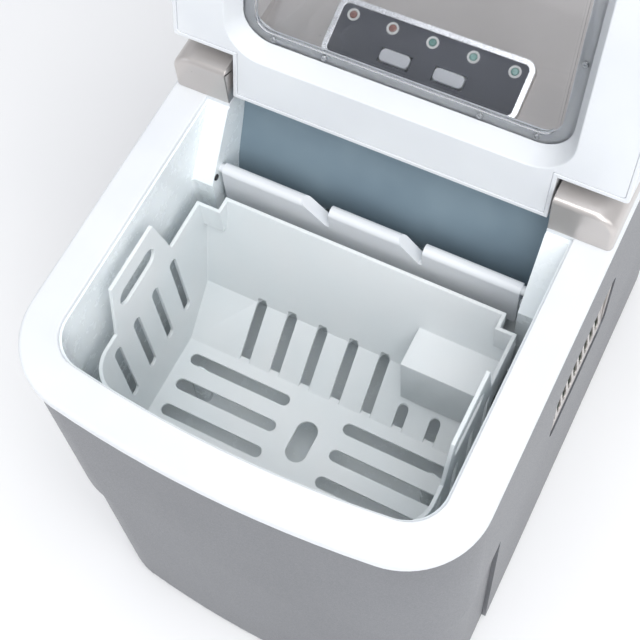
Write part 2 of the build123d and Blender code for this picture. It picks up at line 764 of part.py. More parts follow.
def basket_block(grow):
    """Room inside the basket, or its outer skin when grown by the wall."""
    floor_z = rim_z - basket_floor_drop - grow
    top_z = rim_z - handle_top_drop + (2 if not grow else 0)
    with BuildPart() as block:
        with BuildSketch(Plane.XY.offset(floor_z)):
            add(bowed_plan(basket_floor_half + grow, arm_y, arm_y - basket_front_back - grow, 16 + grow, 0))
        extrude(amount=top_z - floor_z, taper=-basket_draft)
        with BuildSketch(Plane.YZ):
            with BuildLine():
                Polyline(
                    (front_y - 20, rim_z - basket_floor_drop), (arm_y - ramp_start, rim_z - basket_floor_drop),
                    (arm_y - ramp_end, rim_z - ramp_end_drop), (arm_y - back_wall_top, rim_z - basket_top_drop),
                    (arm_y - back_wall_top + 4, rim_z + 20), (front_y - 20, rim_z + 20), close=True)
            make_face()
            if grow:
                offset(amount=grow, kind=Kind.INTERSECTION)
        extrude(amount=width, both=True, mode=Mode.INTERSECT)
        # pump recess in the right rear corner
        with BuildSketch(Plane.XY.offset(rim_z - 118 + grow)):
            with Locations((40 + grow, arm_y - 64 + grow)):
                Rectangle(100, 100, align=(Align.MIN, Align.MIN))
        extrude(amount=43 - 2 * grow, mode=Mode.SUBTRACT)
        # rear corners cut back to pass the columns
        with BuildSketch(Plane.XY.offset(rim_z - 62 + grow)):
            for side, edge, inner in ((-1, Align.MAX, notch_left), (1, Align.MIN, notch_right)):
                with Locations((side * (inner + grow), arm_y - 40 + grow)):
                    Rectangle(60, 60, align=(edge, Align.MIN))
        extrude(amount=80, mode=Mode.SUBTRACT)
    return block.part


handle_back = (77.0, 117.0)
with BuildPart() as ice_basket:
    add(basket_block(basket_wall))
    add(basket_block(0), mode=Mode.SUBTRACT)
    # walls stop low, except at the two handle tabs
    top_z = rim_z - basket_top_drop
    with BuildSketch(Plane.YZ):
        with BuildLine():
            Polyline((front_y, top_z), (front_y, rim_z + 10), (arm_y, rim_z + 10), (arm_y, top_z),
                     (arm_y - handle_back[0] + 8, top_z), (arm_y - handle_back[0], rim_z - handle_top_drop - 0.2),
                     (arm_y - handle_back[1], rim_z - handle_top_drop - 0.2),
                     (arm_y - handle_back[1] - 8, top_z), close=True)
        make_face()
    extrude(amount=width, both=True, mode=Mode.SUBTRACT)
    with BuildSketch(Plane.XY.offset(top_z)):
        Rectangle(2 * basket_floor_half - 20, 3 * depth)
    extrude(amount=basket_top_drop, mode=Mode.SUBTRACT)
    with BuildSketch(along_x(-half, 0, 0)):
        with Locations((arm_y - 98, rim_z - 25)):
            SlotOverall(33, 12)
        for back in (72, 91, 110, 129):
            with Locations((arm_y - back, rim_z - 79)):
                SlotOverall(54, 6, rotation=90)
    extrude(amount=width, mode=Mode.SUBTRACT)
    floor_under = rim_z - basket_floor_drop - basket_wall - 1
    with BuildSketch(Plane.XY.offset(floor_under)):
        for back in (88.1, 105.1, 122.1):
            with Locations((-48.7, arm_y - back), (48.7, arm_y - back)):
                SlotCenterToCenter(56.6, 6.8)
        with Locations((0, arm_y - 106)):
            SlotCenterToCenter(13, 12, rotation=90)
    extrude(amount=5, mode=Mode.SUBTRACT)
    with BuildSketch(Plane.XY.offset(rim_z - basket_floor_drop)):
        for k in range(8):
            slot_end = ramp_end - 2 if k < 5 else ramp_end + 14.5
            with Locations((-51.6 + 19 * k, arm_y - slot_end - 20)):
                SlotOverall(40, 6, rotation=90)
    extrude(amount=28, mode=Mode.SUBTRACT)


# ---- Lid ----
def lid_plan(inset):
    """Outline of the lid with its hinge tongue, on the lid's own plane."""
    with BuildSketch() as plan:
        add(bowed_plan(lid_half - inset, notch_depth + inset, lid_length - inset, front_corner - inset, 2))
        with Locations((0, inset)):
            Rectangle(2 * (tongue_half - inset), notch_depth + 10, align=(Align.CENTER, Align.MIN))
    return plan.sketch


def window_plan(inset):
    """Outline of the window, on the lid's own plane."""
    return bowed_plan(window_half - inset, window_bottom + inset, lid_length - window_front_margin - inset,
                      front_corner - 8 - inset, window_corner - inset)


skin = 2.5
pane_gap = 0.2
flange_z = -window_depth - window_thickness
stake_spots = [(x, window_bottom + 2.6) for x in (-69, -41, 41, 69)]
stake_spots += [(side * (window_half - 2.6), y) for side in (-1, 1) for y in (88, 138)]
stake_spots += [(x, lid_length - window_front_margin - 4.2) for x in (-35, 35)]
well_inset = 3.0
well_wall = 2.0
ledge_thickness = 2.0
with BuildPart() as lid_frame:
    with BuildSketch(lid_face.offset(-lid_thickness)):
        add(lid_plan(0))
    extrude(amount=lid_thickness)
    with BuildSketch(lid_face.offset(-lid_thickness + skin)):
        add(lid_plan(lid_wall))
    extrude(amount=lid_thickness, mode=Mode.SUBTRACT)
    with BuildSketch(lid_face.offset(-lid_thickness)):
        add(window_plan(-well_inset - well_wall))
    extrude(amount=lid_thickness - window_depth)
    with BuildSketch(lid_face.offset(-lid_thickness)):
        add(window_plan(-well_inset))
    extrude(amount=lid_thickness - window_depth, mode=Mode.SUBTRACT)
    with BuildSketch(lid_face.offset(flange_z - ledge_thickness)):
        add(window_plan(-well_inset))
        add(window_plan(window_ledge), mode=Mode.SUBTRACT)
    extrude(amount=ledge_thickness)
    with BuildSketch(lid_face.offset(flange_z)):
        with Locations(*stake_spots):
            Circle(1.05)
    extrude(amount=-ledge_thickness, mode=Mode.SUBTRACT)
    for side in (-1, 1):
        with BuildSketch(along_x(side * (tongue_half - 1), hinge_y, hinge_z)):
            Circle(7)
        extrude(amount=-side * 8)
        with BuildSketch(along_x(side * (tongue_half + 1), hinge_y, hinge_z)):
            Circle(hinge_pin_radius)
        extrude(amount=-side * 8, mode=Mode.SUBTRACT)
    outer_face = lid_frame.faces().sort_by(Axis(lid_face.origin, lid_face.z_dir))[0]
    fillet(outer_face.outer_wire().edges(), 2)

panel_drop = 0.4
with BuildPart() as lid_inner_panel:
    with BuildSketch(lid_face.offset(-panel_drop - 2)):
        add(lid_plan(lid_wall))
        add(window_plan(-funnel_slope_width), mode=Mode.SUBTRACT)
    extrude(amount=2)
    funnel_height = window_depth - panel_drop
    funnel_taper = -degrees(atan(funnel_slope_width / funnel_height))
    with BuildSketch(lid_face.offset(-window_depth)):
        add(window_plan(-1.8))
    extrude(amount=funnel_height, taper=funnel_taper)
    with BuildSketch(lid_face.offset(-window_depth)):
        add(window_plan(0))
    extrude(amount=funnel_height, taper=funnel_taper, mode=Mode.SUBTRACT)

with BuildPart() as lid_window:
    with BuildSketch(lid_face.offset(flange_z)):
        add(window_plan(-well_inset + pane_gap))
    extrude(amount=window_thickness)
    with BuildSketch(lid_face.offset(flange_z + window_thickness)):
        add(window_plan(window_flange - window_rib))
        add(window_plan(window_flange), mode=Mode.SUBTRACT)
    extrude(amount=window_rib)
    with BuildSketch(lid_face.offset(flange_z)):
        with Locations(*stake_spots):
            Circle(1.1)
    extrude(amount=window_thickness, mode=Mode.SUBTRACT)

with BuildPart() as window_screws:
    with BuildSketch(lid_face.offset(-window_depth)):
        with Locations(*stake_spots):
            Circle(1.7)
    extrude(amount=0.8)
    with BuildSketch(lid_face.offset(-window_depth)):
        with Locations(*stake_spots):
            Circle(1)
    extrude(amount=-window_thickness - ledge_thickness)


def hinge_pin(side):
    """Steel pin fixed in the tongue that turns in its arm."""
    with BuildPart() as pin:
        with BuildSketch(along_x(side * (tongue_half - 7), hinge_y, hinge_z)):
            Circle(hinge_pin_radius)
        extrude(amount=side * (arm_inner_half - tongue_half + 7 + 6))
        chamfer(pin.edges().sort_by(Axis.X)[-1 if side > 0 else 0], 0.5)
    return pin.part


with BuildPart() as hinge_pin_left:
    add(hinge_pin(-1))

with BuildPart() as hinge_pin_right:
    add(hinge_pin(1))

# ---- Main board on the right, behind its vent ----
board_x = half - 20
board_spot = (vents["right"]["y"] + 20, vents["right"]["z"])
board_corners = [(y, z) for y in (-38, 38) for z in (-38, 38)]
with BuildPart() as main_board:
    with BuildSketch(along_x(board_x, *board_spot)):
        Rectangle(86, 86)
    extrude(amount=board_thickness)

with BuildPart() as board_standoffs:
    with BuildSketch(along_x(board_x + board_thickness, *board_spot)):
        with Locations(*board_corners):
            Circle(3)
    extrude(amount=shell_in - board_x - board_thickness)

with BuildPart() as board_parts:
    with BuildSketch(along_x(board_x, *board_spot)):
        with Locations((18, 14)):
            Rectangle(28, 30)
        with Locations((6, -24), (26, -24)):
            Rectangle(15, 19)
    extrude(amount=-9)
    with BuildSketch(along_x(board_x + board_thickness, *board_spot)):
        with Locations((-28, 20), (-16, 20), (34, -20), (34, 4)):
            Circle(4)
        with Locations((-24, -12), (10, 24)):
            Rectangle(18, 10)
    extrude(amount=5)

# ---- Compressor on its mounts ----
plate_z = shell_bottom + 7
with BuildPart() as compressor:
    with BuildSketch(Plane.XY.offset(plate_z + 3)):
        with Locations((compressor_x, compressor_y)):
            Circle(compressor_radius)
    extrude(amount=110)
    fillet(compressor.edges().group_by(Axis.Z)[-1], 24)
    with BuildSketch(Plane.XY.offset(plate_z + 70)):
        with Locations((compressor_x, compressor_y)):
            Circle(compressor_radius + 2)
    extrude(amount=3)
    with BuildSketch(Plane.XY.offset(plate_z)):
        with Locations((compressor_x, compressor_y)):
            RectangleRounded(112, 72, 8)
    extrude(amount=3)
    with BuildSketch(Plane.XY.offset(plate_z + 100)):
        with Locations((compressor_x + 11, compressor_y + 17)):
            Circle(5)
    extrude(amount=60)
    with BuildSketch(along_x(10, compressor_y, 110)):
        Circle(5)
    extrude(amount=-18)

mount_spots = [(compressor_x + x, compressor_y + y) for x in (-46, 46) for y in (-27, 27)]
with BuildPart() as compressor_mounts:
    with BuildSketch(Plane.XY.offset(shell_bottom)):
        with Locations(*mount_spots):
            Circle(8)
    extrude(amount=plate_z - shell_bottom)

with BuildPart() as terminal_cover:
    with BuildSketch(Plane.XY.offset(50)):
        with Locations((compressor_x + 40, compressor_y)):
            Rectangle(24, 34, align=(Align.MIN, Align.CENTER))
        with Locations((compressor_x, compressor_y)):
            Circle(compressor_radius, mode=Mode.SUBTRACT)
    extrude(amount=34)

# ---- Condenser, fan and shroud on the left ----
row_pitch = 16.2
rows = 6
row_base = 27.0
fin_pitch = 5.0
fins = 20
coil_reach = 58.0
coil_end = 62.0
coil_points = [(condenser_x, coil_end, row_base + row_pitch * (rows - 1))]
for row in range(rows - 1):
    turn_y = fan_y - coil_reach if row % 2 == 0 else fan_y + coil_reach
    upper = row_base + row_pitch * (rows - 1 - row)
    coil_points += [(condenser_x, turn_y, upper), (condenser_x, turn_y, upper - row_pitch)]
coil_points += [(condenser_x, coil_end, row_base)]
with BuildPart() as condenser_tube:
    add(round_tube(coil_points, 3, row_pitch / 2 - 0.05))

fin_planes = [Plane.XZ.offset(-(fan_y + fin_pitch * (k - (fins - 1) / 2))) for k in range(fins)]
with BuildPart() as condenser_fins:
    with BuildSketch(*fin_planes):
        with Locations((condenser_x, fan_z)):
            Rectangle(20, 100)
        for row in range(rows):
            with Locations((condenser_x, row_base + row_pitch * row)):
                Circle(3, mode=Mode.SUBTRACT)
    extrude(amount=0.4, both=True)

shroud_x = condenser_x + 10
duct_length = 18.0
with BuildPart() as fan_shroud:
    with BuildSketch(along_x(shroud_x, fan_y, fan_z)):
        Rectangle(108, 2 * (fan_z - shell_bottom))
        Circle(fan_radius + 3, mode=Mode.SUBTRACT)
    extrude(amount=2)
    with BuildSketch(along_x(shroud_x, fan_y, fan_z)):
        Circle(fan_radius + 5)
        Circle(fan_radius + 3, mode=Mode.SUBTRACT)
    extrude(amount=duct_length)
    with BuildSketch(along_x(shroud_x + duct_length - 3, fan_y, fan_z)):
        with PolarLocations((fan_radius + 22) / 2, 3):
            Rectangle(fan_radius - 13, 6)
        Circle(21)
        Circle(18, mode=Mode.SUBTRACT)
    extrude(amount=3)

motor_x = shroud_x + duct_length - 3
with BuildPart() as fan_motor:
    with BuildSketch(along_x(motor_x, fan_y, fan_z)):
        Circle(18)
    extrude(amount=26)
    with BuildSketch(along_x(motor_x, fan_y, fan_z)):
        Circle(fan_shaft_radius)
    extrude(amount=-10)

hub_x = shroud_x + 3
with BuildPart(along_x(hub_x, fan_y, fan_z)) as fan_blade:
    Cylinder(11, 11, align=(Align.CENTER, Align.CENTER, Align.MIN))
    with PolarLocations(25, 5):
        with Locations((0, 0, 5.5)):
            Box(29.6, 12, 1.6, rotation=(32, 0, 0))
    with Locations((0, 0, 1)):
        Cylinder(fan_shaft_radius + pin_clearance, 20, align=(Align.CENTER, Align.CENTER, Align.MIN),
                 mode=Mode.SUBTRACT)

# ---- Refrigerant circuit in the rear machine room ----
drier_x = -70.0
drier_y = rear_y - 59
valve_x = -20.0
with BuildPart() as filter_drier:
    with BuildSketch(Plane.XY.offset(50)):
        with Locations((drier_x, drier_y)):
            Circle(8)
    extrude(amount=70)
    fillet(filter_drier.edges(), 5)

with BuildPart() as liquid_tube:
    add(round_tube([(condenser_x, coil_end, row_base), (condenser_x, drier_y, row_base),
                    (drier_x, drier_y, row_base), (drier_x, drier_y, 50)], 3, 8))

coil_inlet = row_base + row_pitch * (rows - 1)
with BuildPart() as discharge_tube:
    add(round_tube([(-8, compressor_y, 110), (-40, compressor_y, 110), (-40, drier_y - 22, coil_inlet),
                    (condenser_x, drier_y - 22, coil_inlet), (condenser_x, coil_end, coil_inlet)], 4, 8))

with BuildPart() as hot_gas_valve:
    with BuildSketch(Plane.XY.offset(114)):
        with Locations((valve_x, compressor_y)):
            Circle(4)
    extrude(amount=30)
    with BuildSketch(Plane.XY.offset(140)):
        with Locations((valve_x, compressor_y)):
            Rectangle(22, 22)
    extrude(amount=28)
    with BuildSketch(Plane.XY.offset(168)):
        with Locations((valve_x, compressor_y)):
            Circle(4)
    extrude(amount=12)

with BuildPart() as hot_gas_tube:
    add(round_tube([(valve_x, compressor_y, 180), (valve_x, compressor_y, evaporator_z),
                    (42, compressor_y, evaporator_z), (42, evaporator_end, evaporator_z)], 3, 10))

with BuildPart() as capillary_tube:
    add(round_tube([(drier_x, drier_y, 120), (drier_x, drier_y, 225), (valve_x - 3, drier_y, 225)], 1.5, 8))

with BuildPart() as suction_tube:
    add(round_tube([(56, evaporator_end, evaporator_z), (56, compressor_y + 17, evaporator_z),
                    (56, compressor_y + 17, plate_z + 160)], 4, 12))

# ---- Drain: fitting in the left wall, hose to the tank, pull-out plug ----
with BuildPart() as drain_fitting:
    with BuildSketch(along_x(-shell_in, drain_y, drain_z)):
        Circle(drain_hole + 2.5)
    extrude(amount=2)
    with BuildSketch(along_x(-shell_in, drain_y, drain_z)):
        Circle(8)
    extrude(amount=16)
    with BuildSketch(along_x(-shell_in, drain_y, drain_z)):
        Circle(5)
    extrude(amount=16, mode=Mode.SUBTRACT)

with BuildPart() as drain_plug:
    with BuildSketch(along_x(-shell_in - 0.3, drain_y, drain_z)):
        Circle(drain_hole - 1)
    extrude(amount=-2.6)
    with BuildSketch(along_x(-shell_in - 0.3, drain_y, drain_z)):
        Circle(5 - pin_clearance)
    extrude(amount=13)

with BuildPart() as drain_hose:
    add(round_tube([(-shell_in + 16, drain_y, drain_z), (drain_spot[0], drain_y, drain_z),
                    (drain_spot[0], drain_y, tank_floor - liner_wall - 7)], 5, 14))

# ---- Labels and files ----
pieces = {
    "base_pan": base_pan, "feet": feet, "outer_shell": outer_shell,
    "vent_grille_right": vent_grille_right, "vent_grille_left": vent_grille_left,
    "rear_panel": rear_panel, "rear_screws": rear_screws, "power_gland": power_gland,
    "top_rim": top_rim, "rear_housing": rear_housing,
    "panel_overlay": panel_overlay, "panel_frame": panel_frame,
    "lamps_red": lamps_red, "lamps_green": lamps_green, "lamp_rings": lamp_rings,
    "display_board": display_board, "button_switches": button_switches,
    "button_make": button_make, "button_size": button_size,
    "inner_liner": inner_liner, "liner_screws": liner_screws, "tank_insulation": tank_insulation,
    "sensor_left": sensor_left, "sensor_right": sensor_right, "splash_guard": splash_guard,
    "evaporator": evaporator, "water_tray": water_tray, "tray_motor": tray_motor,
    "ice_pusher": ice_pusher, "water_pump": water_pump, "pump_hose": pump_hose,
    "ice_basket": ice_basket, "lid_frame": lid_frame, "lid_inner_panel": lid_inner_panel,
    "lid_window": lid_window, "window_screws": window_screws,
    "hinge_pin_left": hinge_pin_left, "hinge_pin_right": hinge_pin_right,
    "main_board": main_board, "board_standoffs": board_standoffs, "board_parts": board_parts,
    "compressor": compressor, "compressor_mounts": compressor_mounts, "terminal_cover": terminal_cover,
    "condenser_tube": condenser_tube, "condenser_fins": condenser_fins,
    "fan_shroud": fan_shroud, "fan_motor": fan_motor, "fan_blade": fan_blade,
    "filter_drier": filter_drier, "liquid_tube": liquid_tube, "discharge_tube": discharge_tube,
    "hot_gas_valve": hot_gas_valve, "hot_gas_tube": hot_gas_tube, "capillary_tube": capillary_tube,
    "suction_tube": suction_tube, "drain_fitting": drain_fitting, "drain_plug": drain_plug,
    "drain_hose": drain_hose,
}
os.makedirs("parts", exist_ok=True)
for name, piece in pieces.items():
    piece.part.label = name
    export_step(piece.part, f"parts/{name}.step")
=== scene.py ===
import bmesh
import bpy
import json
from math import cos, pi, radians, sin
from mathutils import Matrix, Vector


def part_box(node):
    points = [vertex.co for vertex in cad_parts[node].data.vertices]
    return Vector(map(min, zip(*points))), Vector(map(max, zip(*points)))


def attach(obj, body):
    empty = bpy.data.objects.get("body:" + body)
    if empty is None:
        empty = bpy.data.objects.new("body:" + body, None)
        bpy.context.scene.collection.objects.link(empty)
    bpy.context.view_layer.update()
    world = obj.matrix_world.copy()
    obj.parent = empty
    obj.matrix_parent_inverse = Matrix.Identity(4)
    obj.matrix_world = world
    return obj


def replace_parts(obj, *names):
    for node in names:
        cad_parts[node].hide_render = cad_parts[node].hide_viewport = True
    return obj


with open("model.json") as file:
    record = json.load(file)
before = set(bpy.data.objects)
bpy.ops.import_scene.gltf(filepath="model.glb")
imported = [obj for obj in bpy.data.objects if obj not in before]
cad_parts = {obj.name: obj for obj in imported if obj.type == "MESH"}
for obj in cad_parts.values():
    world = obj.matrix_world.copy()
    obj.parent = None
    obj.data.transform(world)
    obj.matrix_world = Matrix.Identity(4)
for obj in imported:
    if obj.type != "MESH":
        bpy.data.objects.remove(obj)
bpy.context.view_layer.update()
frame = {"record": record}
MM = 0.001
slot_of = {row["node"]: row["material_slot"] for row in frame["record"]["subparts"]}
body_of = {node: body for body, nodes in frame["record"]["behaviour"]["bodies"].items() for node in nodes}


# ---- Colour and node helpers ----
def srgb(code):
    """Hex colour as linear RGBA."""
    parts = [int(code[k:k + 2], 16) / 255 for k in (1, 3, 5)]
    return [p / 12.92 if p <= 0.04045 else ((p + 0.055) / 1.055) ** 2.4 for p in parts] + [1.0]


def add(tree, kind, inputs=None, **settings):
    """Adds one node; an input is a value or another node's output."""
    node = tree.nodes.new(kind)
    for key, value in settings.items():
        setattr(node, key, value)
    for key, value in (inputs or {}).items():
        if isinstance(value, bpy.types.NodeSocket):
            tree.links.new(value, node.inputs[key])
        else:
            node.inputs[key].default_value = value
    return node


def ramp(tree, fac, low, high, out_low, out_high):
    """Straight map of one range on another."""
    return add(tree, "ShaderNodeMapRange", {"Value": fac, "From Min": low, "From Max": high,
                                            "To Min": out_low, "To Max": out_high}).outputs["Result"]


def noise(tree, size_mm, detail=3.0, rough=0.55, stretch=(1, 1, 1)):
    """Noise whose blobs are about size_mm across, on object coordinates."""
    coords = add(tree, "ShaderNodeTexCoord").outputs["Object"]
    place = add(tree, "ShaderNodeMapping", {"Vector": coords, "Scale": stretch}).outputs["Vector"]
    return add(tree, "ShaderNodeTexNoise", {"Vector": place, "Scale": 1000 / size_mm, "Detail": detail,
                                            "Roughness": rough}).outputs["Fac"]


def cells(tree, size_mm, feature="F1", output="Distance", stretch=(1, 1, 1)):
    """Cell pattern whose cells are about size_mm across."""
    coords = add(tree, "ShaderNodeTexCoord").outputs["Object"]
    place = add(tree, "ShaderNodeMapping", {"Vector": coords, "Scale": stretch}).outputs["Vector"]
    return add(tree, "ShaderNodeTexVoronoi", {"Vector": place, "Scale": 1000 / size_mm},
               feature=feature).outputs[output]


def blend_colour(tree, fac, low, high):
    """Mix of two colours."""
    mix = add(tree, "ShaderNodeMix", data_type="RGBA")
    for socket, value in ((mix.inputs[0], fac), (mix.inputs[6], low), (mix.inputs[7], high)):
        if isinstance(value, bpy.types.NodeSocket):
            tree.links.new(value, socket)
        else:
            socket.default_value = value
    return mix.outputs[2]


def tone(tree, size_mm, code, dark, detail=2, low=0.35, high=0.7):
    """Slow drift between two hex colours in patches about size_mm across."""
    share = ramp(tree, noise(tree, size_mm, detail), low, high, 0, 1)
    return blend_colour(tree, share, srgb(code), srgb(dark))


def bump(tree, height, depth_mm, strength=1.0, under=None):
    """Bump of a real depth, over another bump if given."""
    inputs = {"Height": height, "Distance": depth_mm * MM, "Strength": strength}
    if under is not None:
        inputs["Normal"] = under
    return add(tree, "ShaderNodeBump", inputs).outputs["Normal"]


def shader(name, **sockets):
    """Material with a Principled shader; each socket takes a number, colour or node output."""
    mat = bpy.data.materials.new(name)
    mat.use_nodes = True
    tree = mat.node_tree
    tree.nodes.clear()
    body = add(tree, "ShaderNodeBsdfPrincipled")
    end = add(tree, "ShaderNodeOutputMaterial")
    tree.links.new(body.outputs[0], end.inputs["Surface"])
    for key, value in sockets.items():
        if callable(value):
            value = value(tree)
        socket = body.inputs[key.replace("_", " ")]
        if isinstance(value, bpy.types.NodeSocket):
            tree.links.new(value, socket)
        else:
            socket.default_value = value
    return mat


# ---- Finishes ----
def moulded(name, code, dark, rough, grain_mm=0.6, grain_depth=0.01, tone_mm=60, **more):
    """Moulded plastic: fine spark-eroded grain, slow tone drift and handling marks in the gloss."""
    return shader(
        name,
        Base_Color=lambda t: tone(t, tone_mm, code, dark),
        Roughness=lambda t: ramp(t, noise(t, 9, 5, 0.65), 0.3, 0.75, rough - 0.05, rough + 0.09),
        Normal=lambda t: bump(t, cells(t, grain_mm, "SMOOTH_F1"), grain_depth, 0.6,
                              bump(t, noise(t, 35, 2), 0.06, 0.25)),
        **more)


def metal(name, code, dark, rough, grain=(1, 1, 1), grain_mm=1.2, depth=0.008, metallic=1.0, **more):
    """Drawn, rolled or plated metal: streaks along its working direction, tone drift, uneven gloss."""
    return shader(
        name,
        Base_Color=lambda t: tone(t, 22, code, dark, 4),
        Roughness=lambda t: ramp(t, noise(t, grain_mm, 5, 0.7, grain), 0.3, 0.75,
                                 rough - 0.07, rough + 0.12),
        Metallic=metallic,
        Normal=lambda t: bump(t, noise(t, grain_mm, 4, 0.6, grain), depth, 0.7),
        **more)


finishes = {}

# sprayed metallic paint on sheet steel: flakes glint singly, and orange peel softens the reflections; its
# silver grey is set darker than the paint itself, a painted dark reflection of the surroundings on the
# shell
finishes["silver_paint"] = shader(
    "sprayed_silver_paint_on_sheet_steel",
    # painted reflection: both greys are darkened to stand in for the dark surroundings that the front of
    # the shell reflects
    Base_Color=lambda t: tone(t, 120, "#6E7075", "#66686D"),
    Metallic=0.6,
    Roughness=lambda t: ramp(t, cells(t, 0.5, output="Color"), 0.0, 1.0, 0.36, 0.5),
    Coat_Weight=0.12,
    Coat_Roughness=0.18,
    Normal=lambda t: bump(t, cells(t, 0.45, output="Color"), 0.006, 0.5,
                          bump(t, noise(t, 2.6, 2), 0.012, 0.5)))

# metallic paint on moulded plastic: warmer and softer than the steel, with a fine even sparkle
finishes["silver_plastic"] = shader(
    "sprayed_silver_paint_on_moulded_plastic",
    Base_Color=lambda t: tone(t, 70, "#C8C3C0", "#BEB9B6"),
    Metallic=0.72,
    Roughness=lambda t: ramp(t, cells(t, 0.4, output="Color"), 0.0, 1.0, 0.27, 0.42),
    Coat_Weight=0.25,
    Coat_Roughness=0.2,
    Normal=lambda t: bump(t, cells(t, 0.4, output="Color"), 0.005, 0.5,
                          bump(t, noise(t, 3.5, 2), 0.012, 0.4)))

glow_reach = (0.003, 0.003, 0.004)
# polished mould with a light satin: broad soft highlights on the rim and lid
finishes["white_plastic"] = moulded("satin_white_moulded_plastic", "#DFE2E5", "#D8DBDF", 0.34,
                                    Subsurface_Weight=0.08, Subsurface_Radius=glow_reach)
# smoother wipe-clean lining: cooler and a little glossier than the rim
finishes["liner_white"] = moulded("smooth_white_moulded_lining", "#EFF4F6", "#E6EDF0", 0.24,
                                  grain_mm=1.1, grain_depth=0.006, Subsurface_Weight=0.08,
                                  Subsurface_Radius=glow_reach)
# frosted translucent wall: light comes through it, and the surface scatters what it reflects
finishes["frosted_plastic"] = moulded("frosted_translucent_moulded_plastic", "#F8FBFC", "#F1F7F9", 0.38,
                                      grain_mm=0.35, grain_depth=0.012, Transmission_Weight=0.28, IOR=1.42)
# grey-blue sheet, satin, a little wet sheen; its grey-blue is set darker by the shade the part sits in, a
# painted shade
finishes["smoke_plastic"] = moulded("grey_blue_moulded_plastic", "#80929D", "#748692", 0.34, tone_mm=45)
# clear moulding: faint flow lines and finger haze only in the gloss
finishes["clear_plastic"] = shader(
    "clear_moulded_polycarbonate",
    Base_Color=srgb("#FAFBFD"),
    Roughness=lambda t: ramp(t, noise(t, 16, 5, 0.7), 0.35, 0.8, 0.015, 0.10),
    Transmission_Weight=1.0,
    IOR=1.45,
    Normal=lambda t: bump(t, noise(t, 28, 3), 0.02, 0.25))
# printed film: even dark grey with a very fine leather-like grain
finishes["dark_overlay"] = moulded("dark_grey_textured_film", "#54555E", "#4C4D55", 0.44, grain_mm=0.25,
                                   grain_depth=0.01, tone_mm=30)
# satin plated trim: brighter than the painted deck round it
finishes["bright_trim"] = metal("satin_plated_trim", "#E4E4E6", "#D6D6D8", 0.24)
# moulded keys: a fine even grain that keeps their highlights small and soft
finishes["button_grey"] = moulded("light_grey_moulded_keys", "#DCDDE1", "#D3D5D9", 0.30, grain_mm=0.4)
# unlit lenses: coloured clear plastic, dark in the middle
for slot_name, code, dark in (("lamp_red", "#9C6A5E", "#7C4A40"), ("lamp_green", "#6FA39A", "#4A7C73")):
    finishes[slot_name] = shader(
        f"tinted_clear_lens_{slot_name}",
        Base_Color=lambda t, c=code, d=dark: tone(t, 1.5, c, d, low=0.3),
        Roughness=lambda t: ramp(t, noise(t, 2, 3), 0.3, 0.7, 0.10, 0.2),
        Coat_Weight=0.6,
        Normal=lambda t: bump(t, noise(t, 1.2, 2), 0.01, 0.3))
# raised screen ink: dry and slightly uneven against the film
finishes["print_white"] = moulded("white_screen_print", "#E9E9E6", "#DEDEDB", 0.5, grain_mm=0.2)
# plain moulding of a hidden part: dull, with a slow tone drift
finishes["grey_plastic"] = moulded("light_grey_moulded_plastic", "#B9BABC", "#ACADB0", 0.4)
# coarser mould grain: breaks up highlights on black, which would look wet without it
finishes["black_plastic"] = moulded("black_moulded_plastic", "#1C1D20", "#141518", 0.42, grain_mm=0.5,
                                    grain_depth=0.015)
# zinc coat: crystal spangle shows as flat patches of slightly different grey and gloss
finishes["galvanised_steel"] = shader(
    "zinc_coated_sheet_steel",
    Base_Color=lambda t: blend_colour(t, cells(t, 9, output="Color"), srgb("#A4A7AA"), srgb("#8B8F93")),
    Metallic=0.85,
    Roughness=lambda t: ramp(t, cells(t, 9, output="Color"), 0, 1, 0.34, 0.55),
    Normal=lambda t: bump(t, noise(t, 4, 4), 0.01, 0.6))
# thick stoved paint: glossy skin over the faint waves of pressed steel
finishes["black_enamel"] = shader(
    "stoved_black_paint_on_pressed_steel",
    Base_Color=lambda t: tone(t, 12, "#141416", "#26262A", 5, 0.4, 0.8),
    Roughness=lambda t: ramp(t, noise(t, 5, 4), 0.3, 0.7, 0.22, 0.4),
    Coat_Weight=0.3,
    Normal=lambda t: bump(t, noise(t, 1.8, 3), 0.03, 0.6))
# drawn tube: warm metal with darker handled patches
finishes["copper"] = metal("drawn_copper_tube", "#C98A66", "#A5674A", 0.26, grain_mm=3)
# plating: bright warm grey with a nearly even gloss
finishes["nickel_plate"] = metal("nickel_plated_tube", "#D9D6CF", "#C4C1BA", 0.2, grain_mm=2)
# rolled sheet: long streaks along the rolling direction
finishes["aluminium_sheet"] = metal("rolled_aluminium_sheet", "#D4D6D8", "#BFC2C5", 0.3,
                                    grain=(1, 1, 0.15), grain_mm=0.8)
# turned screws: small bright glints with a fine tool grain
finishes["steel"] = metal("turned_bright_steel", "#C6C7CA", "#A9ABAE", 0.28, grain_mm=0.6)
# rubber: matt, with a grain deep enough to see
finishes["black_rubber"] = moulded("moulded_black_rubber", "#1A1A1B", "#232325", 0.62, grain_mm=0.8,
                                   grain_depth=0.03)
# soft tube: cloudy, so some light passes and what is behind stays unseen
finishes["silicone"] = moulded("milky_silicone_tube", "#E4E9EB", "#D8DEE1", 0.4, Transmission_Weight=0.25)
# bead foam: rounded beads pressed together
finishes["foam"] = moulded("bead_foam", "#EFEBDD", "#E3DECD", 0.75, grain_mm=4, grain_depth=0.5)
# solder mask: tracks show as slightly raised, lighter runs under the green
finishes["board_green"] = shader(
    "green_solder_mask_over_copper_tracks",
    Base_Color=lambda t: blend_colour(t, ramp(t, cells(t, 5, "DISTANCE_TO_EDGE"), 0.04, 0.09, 0, 1),
                                      srgb("#2F9A5C"), srgb("#14663B")),
    Roughness=lambda t: ramp(t, noise(t, 6, 3), 0.3, 0.7, 0.2, 0.34),
    Normal=lambda t: bump(t, cells(t, 5, "DISTANCE_TO_EDGE"), 0.05, 0.5))


# ---- CAD nodes ----
def cad(node):
    """The carried-over mesh of a CAD node."""
    found = [o for o in bpy.data.objects if o.type == "MESH" and o.name.split(".")[0] == node]
    return found[0]


